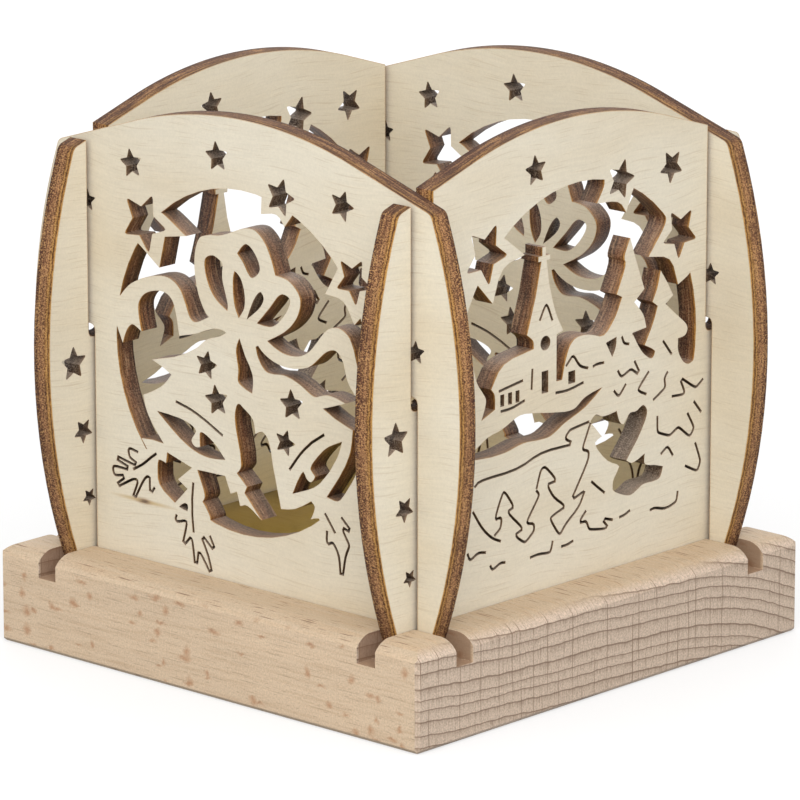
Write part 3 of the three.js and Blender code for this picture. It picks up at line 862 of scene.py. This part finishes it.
@dataclass
class FretPanel:
    """One pierced plywood panel, dressed over its CAD solid.

    Args:
        node: name of the CAD node.
        body: name of the body that it moves with.
        facing: the way its drawn side looks.
        knot: a knot in its veneer, if it has one.
        crease: angle past which an edge shows as sharp.
        gentle: least turn of a cut that is rounded.
        pointed: turn past which a corner of a cut stays sharp.
        rounded: share of the sides of a bend that its rounding takes, in percent.
        star_sides: sides of a star, and corners at its tips on the two faces.
        tip_share: share of a star's reach past which a corner is a tip.
        tip_growth: how much further out the tips of a star are cut.
        waist_growth: how much further out its inner corners are cut.
        blunt: share of the full rounding that a tip gets.
        narrow: mean width below which a cut has the finish of the small cuts.
        face_on: share of a normal along the panel's axis past which it belongs to a face.
        straight: share of an edge along that axis past which it runs through the plies.
    """

    node: str
    body: str
    facing: Facing
    knot: Optional[PinKnot] = None
    crease: float = math.radians(30)
    gentle: float = math.radians(9)
    pointed: float = math.radians(66)
    rounded: float = 34.0
    star_sides: int = 10
    tip_share: float = 0.97
    tip_growth: float = 0.16
    waist_growth: float = 0.19
    blunt: float = 0.6
    narrow: float = 1.78 * MM
    face_on: float = 0.7
    straight: float = 0.99

    def build(self, nodes: dict[str, bpy.types.Object]) -> bpy.types.Object:
        """Copies the cut panel and rounds the bends of its cuts.

        Args:
            nodes: the CAD nodes by name.

        Returns:
            The panel.
        """
        panel = merged_copy(nodes[self.node], f"{self.node}_ply")
        self.weigh_bends(panel.data, self.widen_stars(panel.data))
        settings = {"limit_method": "WEIGHT", "offset_type": "PERCENT", "use_clamp_overlap": False}
        applied(panel, "BEVEL", width_pct=self.rounded, segments=EDGE_STEPS, **settings)
        self.fill_faces(panel)
        bpy.ops.object.shade_smooth_by_angle(angle=self.crease)
        return panel

    def fill_faces(self, panel: bpy.types.Object) -> None:
        """Takes the two faces of the panel off and fills them afresh between the rounded cuts.

        Args:
            panel: the panel, active and selected alone.
        """
        axis = self.facing.value
        bpy.ops.object.mode_set(mode="EDIT")
        bpy.ops.mesh.select_mode(type="FACE")
        bpy.ops.mesh.select_all(action="DESELECT")
        bpy.ops.object.mode_set(mode="OBJECT")
        for polygon in panel.data.polygons:
            polygon.select = abs(polygon.normal[axis]) > self.face_on
        bpy.ops.object.mode_set(mode="EDIT")
        bpy.ops.mesh.delete(type="ONLY_FACE")
        bpy.ops.mesh.select_mode(type="EDGE")
        bpy.ops.mesh.select_all(action="SELECT")
        bpy.ops.mesh.delete_loose()
        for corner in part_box(self.node):
            bpy.ops.mesh.select_all(action="DESELECT")
            bpy.ops.object.mode_set(mode="OBJECT")
            for edge in panel.data.edges:
                ends = [panel.data.vertices[index].co[axis] for index in edge.vertices]
                edge.select = max(abs(end - corner[axis]) for end in ends) < WELD
            bpy.ops.object.mode_set(mode="EDIT")
            bpy.ops.mesh.fill()
        bpy.ops.mesh.select_all(action="SELECT")
        bpy.ops.mesh.normals_make_consistent(inside=False)
        bpy.ops.object.mode_set(mode="OBJECT")

    def widen_stars(self, mesh: bpy.types.Mesh) -> dict[int, float]:
        """Gives the stars the breadth of the laser's cut.

        Args:
            mesh: the panel's mesh.

        Returns:
            How far each corner of a star is rounded, by the number of its vertex.
        """
        corners = {}
        for faces in self.loops(mesh, self.cuts(mesh)):
            numbers = {vertex for polygon in faces for vertex in polygon.vertices}
            middle = sum((mesh.vertices[number].co for number in numbers), Vector()) / len(numbers)
            offsets = {number: mesh.vertices[number].co - middle for number in numbers}
            for offset in offsets.values():
                offset[self.facing.value] = 0.0
            reach = max(offset.length for offset in offsets.values())
            least = self.tip_share * reach
            tips = [number for number, offset in offsets.items() if offset.length > least]
            if len(faces) != self.star_sides or len(tips) != self.star_sides:
                continue
            for number, offset in offsets.items():
                growth = self.tip_growth if number in tips else self.waist_growth
                mesh.vertices[number].co += offset * growth
                corners[number] = self.blunt if number in tips else 0.0
        return corners

    def weigh_bends(self, mesh: bpy.types.Mesh, corners: dict[int, float]) -> None:
        """Marks the edges where a cut bends, apart from its points and sharp corners.

        Args:
            mesh: the panel's mesh.
            corners: how far the corners of the stars are rounded, by vertex.
        """
        sides = {}
        for polygon in mesh.polygons:
            for key in polygon.edge_keys:
                sides.setdefault(key, []).append(polygon.normal)
        weights = mesh.attributes.new("bevel_weight_edge", "FLOAT", "EDGE")
        for edge in mesh.edges:
            start, end = (mesh.vertices[index].co for index in edge.vertices)
            through = abs((end - start).normalized()[self.facing.value]) > self.straight
            turn = sides[edge.key][0].angle(sides[edge.key][-1])
            bend = corners.get(edge.vertices[0], float(self.gentle < turn < self.pointed))
            weights.data[edge.index].value = bend if through else 0.0

    def dress(self, panel: bpy.types.Object, face: BirchFace) -> None:
        """Gives the panel its veneer faces and scorched cuts, and puts it in place of its solid.

        Args:
            panel: the panel.
            face: finish of its two faces.
        """
        panel.data.materials.clear()
        panel.data.materials.append(face.material(self.facing, self.node, self.knot))
        for edge in (RIM_EDGE, HOLE_WALL, SMALL_WALL):
            panel.data.materials.append(edge.material(self.facing, self.node))
        outside = panel.data.attributes.new(OUTSIDE, "FLOAT", "POINT")
        loops = sorted(self.loops(panel.data, self.cuts(panel.data)), key=self.height)
        for faces in loops:
            layer = Layer.SMALL if self.breadth(faces) < self.narrow else Layer.HOLE
            for polygon in faces:
                polygon.material_index = layer.value
        for polygon in loops[-1]:
            polygon.material_index = Layer.RIM.value
            for vertex in polygon.vertices:
                outside.data[vertex].value = 1.0
        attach(panel, self.body)
        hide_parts(self.node)

    def cuts(self, mesh: bpy.types.Mesh) -> list:
        """All the faces that a cut left, which look along the panel and not out of it."""
        axis = self.facing.value
        return [one for one in mesh.polygons if abs(one.normal[axis]) < self.face_on]

    def height(self, faces: list) -> float:
        """Height of a closed cut, from the middle of its lowest face to that of its highest."""
        levels = [polygon.center.z for polygon in faces]
        return max(levels) - min(levels)

    def breadth(self, faces: list) -> float:
        """Mean width of a closed cut: twice what it encloses, over the length of its wall."""
        enclosed = abs(sum(polygon.center.dot(polygon.normal) * polygon.area for polygon in faces))
        return enclosed / sum(polygon.area for polygon in faces)

    def loops(self, mesh: bpy.types.Mesh, cuts: list) -> list[list]:
        """Sorts the cut faces into closed cuts, by going from one face to the next.

        Args:
            mesh: the panel's mesh.
            cuts: all its cut faces.

        Returns:
            The faces of each closed cut.
        """
        touching = {}
        for polygon in cuts:
            for vertex in polygon.vertices:
                touching.setdefault(vertex, []).append(polygon)
        seen, found = set(), []
        for start in touching:
            if start in seen:
                continue
            waiting, faces = [start], {}
            while waiting:
                for polygon in touching[waiting.pop()]:
                    faces[polygon.index] = polygon
                    waiting.extend(vertex for vertex in polygon.vertices if vertex not in seen)
                    seen.update(polygon.vertices)
            found.append(list(faces.values()))
        return found


@dataclass
class BaseBlock:
    """The grooved beech block, its sharp edges taken off with sandpaper."""

    node: str = "base_block"
    body: str = "base"
    sanded: float = 0.18 * MM
    sharp: float = math.radians(30)
    crease: float = math.radians(35)

    def build(self, nodes: dict[str, bpy.types.Object]) -> bpy.types.Object:
        """Copies the cut block and softens its edges.

        Args:
            nodes: the CAD nodes by name.

        Returns:
            The block.
        """
        made = merged_copy(nodes[self.node], "beech_block")
        applied(made, "BEVEL", width=self.sanded, segments=EDGE_STEPS, angle_limit=self.sharp)
        bpy.ops.object.shade_smooth_by_angle(angle=self.crease)
        applied(made, "WEIGHTED_NORMAL", keep_sharp=True)
        return made

    def dress(self, made: bpy.types.Object, finish: Beech) -> None:
        """Gives the block its beech and puts it in place of its solid.

        Args:
            made: the block.
            finish: its beech.
        """
        made.data.materials.clear()
        made.data.materials.append(finish.material())
        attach(made, self.body)
        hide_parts(self.node)


@dataclass
class FloorPlate:
    """The thin brass plate on the floor between the panels."""

    node: str = "floor_plate"
    body: str = "base"
    soft_edge: float = 0.12 * MM
    crease: float = math.radians(50)

    def build(self) -> bpy.types.Object:
        """Makes the plate with its softened edges.

        Returns:
            The plate.
        """
        made = block("brass_plate", *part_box(self.node))
        applied(made, "BEVEL", width=self.soft_edge, segments=EDGE_STEPS)
        bpy.ops.object.shade_smooth_by_angle(angle=self.crease)
        return made

    def dress(self, made: bpy.types.Object, finish: BrassSheet) -> None:
        """Gives the plate its brass and puts it in place of its solid.

        Args:
            made: the plate.
            finish: its brass.
        """
        made.data.materials.append(finish.material())
        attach(made, self.body)
        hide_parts(self.node)


@dataclass(frozen=True)
class Lamp:
    """A square soft lamp: where it hangs and its side, in metres, and its power in watts."""

    name: str
    place: tuple[float, float, float]
    side: float
    power: float


LAMPS = (
    Lamp("lamp_left", (-0.2, -1.1, 1.05), 1.0, 1.8),
    Lamp("lamp_right", (1.1, 0.1, 1.05), 1.0, 1.6),
    Lamp("lamp_over", (0.42, -0.45, 1.15), 1.0, 5.0),
    Lamp("lamp_front", (0.28, -0.30, 0.28), 0.3, 0.78),
    Lamp("lamp_back", (-0.8, 0.8, 0.85), 1.0, 3.2),
)


@dataclass
class Studio:
    """White floor, soft lamps and the camera of the product picture."""

    lens: float = 297.5
    sensor: float = 36.0
    distance: float = 1174.4 * MM
    azimuth: float = 42.625
    elevation: float = 14.592
    target: tuple = (-7.12 * MM, 7.74 * MM, 40.41 * MM)
    floor_side: float = 12.0
    floor_tone: float = 0.4
    floor_rough: float = 0.9
    floor_fade: tuple = (0.2, 1.4)
    floor_glow: tuple = (0.52, 0.85)
    sky_light: float = 0.77
    view_end: float = 100.0

    def build(self) -> None:
        """Makes the floor, the sky, the lamps and the camera."""
        self.make_floor()
        self.make_sky()
        for lamp in LAMPS:
            self.make_lamp(lamp)
        self.make_camera()
        bpy.context.scene.view_settings.view_transform = "Standard"

    def make_floor(self) -> None:
        """A wide pale floor that shows white to the camera and keeps the shadow."""
        bpy.ops.object.select_all(action="DESELECT")
        bpy.ops.mesh.primitive_plane_add(size=self.floor_side, location=(0, 0, 0))
        floor = bpy.context.active_object
        floor.name = "studio_floor"
        graph = NodeGraph("studio_floor")
        seen = self.seen(graph.tree)
        glow = graph.span(graph.length(graph.place()), *self.floor_fade, self.floor_glow)
        graph.feed(graph.shader.inputs["Emission Strength"], graph.times(seen, glow))
        graph.shader.inputs["Emission Color"].default_value = WHITE
        tone = (self.floor_tone, self.floor_tone, self.floor_tone)
        floor.data.materials.append(graph.finish(tone, self.floor_rough))

    def make_sky(self) -> None:
        """An even sky: white where the camera, gloss or glass sees it, softer as light."""
        world = bpy.data.worlds.new("studio_sky")
        bpy.context.scene.world = world
        world.use_nodes = True
        nodes, links = world.node_tree.nodes, world.node_tree.links
        sky = nodes["Background"]
        strength = nodes.new("ShaderNodeMapRange")
        links.new(self.seen(world.node_tree), strength.inputs[0])
        strength.inputs[3].default_value = self.sky_light
        strength.inputs[4].default_value = 1.0
        links.new(strength.outputs[0], sky.inputs["Strength"])
        sky.inputs["Color"].default_value = WHITE

    def seen(self, tree: bpy.types.NodeTree) -> Socket:
        """1 where the camera, gloss or glass looks, and 0 where only light arrives.

        Args:
            tree: nodes of a material or of the world.

        Returns:
            The value's socket.
        """
        rays = tree.nodes.new("ShaderNodeLightPath")
        seen = rays.outputs["Is Camera Ray"]
        for kind in ("Is Glossy Ray", "Is Transmission Ray"):
            either = tree.nodes.new("ShaderNodeMath")
            either.operation = "MAXIMUM"
            tree.links.new(seen, either.inputs[0])
            tree.links.new(rays.outputs[kind], either.inputs[1])
            seen = either.outputs[0]
        return seen

    def make_lamp(self, lamp: Lamp) -> None:
        """Adds a lamp that looks at the holder.

        Args:
            lamp: its name, place and power.
        """
        data = bpy.data.lights.new(lamp.name, "AREA")
        data.size = lamp.side
        data.energy = lamp.power
        made = bpy.data.objects.new(lamp.name, data)
        made.location = lamp.place
        aim = Vector(self.target) - Vector(lamp.place)
        made.rotation_euler = aim.to_track_quat("-Z", "Y").to_euler()
        bpy.context.scene.collection.objects.link(made)

    def make_camera(self) -> None:
        """Adds the camera at the photograph's angle and makes it the scene's."""
        turn, rise = math.radians(self.azimuth), math.radians(self.elevation)
        level = math.cos(rise)
        back = Vector((math.sin(turn) * level, -math.cos(turn) * level, math.sin(rise)))
        data = bpy.data.cameras.new("photo_camera")
        data.lens = self.lens
        data.sensor_width = self.sensor
        camera = bpy.data.objects.new("photo_camera", data)
        camera.location = Vector(self.target) + back * self.distance
        camera.rotation_euler = (-back).to_track_quat("-Z", "Y").to_euler()
        data.clip_end = self.view_end
        bpy.context.scene.collection.objects.link(camera)
        bpy.context.scene.camera = camera


def main() -> None:
    """Loads the frame, dresses each piece and sets up the studio."""
    logging.basicConfig(level=logging.INFO, format="%(name)s: %(message)s")
    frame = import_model()
    Studio().build()

    base = BaseBlock()
    base.dress(base.build(frame["nodes"]), Beech())
    LOG.info("%s dressed", base.node)

    plate = FloorPlate()
    plate.dress(plate.build(), BrassSheet())
    LOG.info("%s dressed", plate.node)

    knot = PinKnot(along=-23.8 * MM, up=28.4 * MM)
    panels = [
        FretPanel("bell_panel_front", "bell_front", Facing.FRONT, knot),
        FretPanel("bell_panel_rear", "bell_rear", Facing.FRONT),
        FretPanel("church_panel_right", "church_pair", Facing.RIGHT),
        FretPanel("church_panel_left", "church_pair", Facing.RIGHT),
    ]
    for panel in panels:
        panel.dress(panel.build(frame["nodes"]), BirchFace())
        LOG.info("%s dressed", panel.node)


if __name__ == "__main__":
    main()
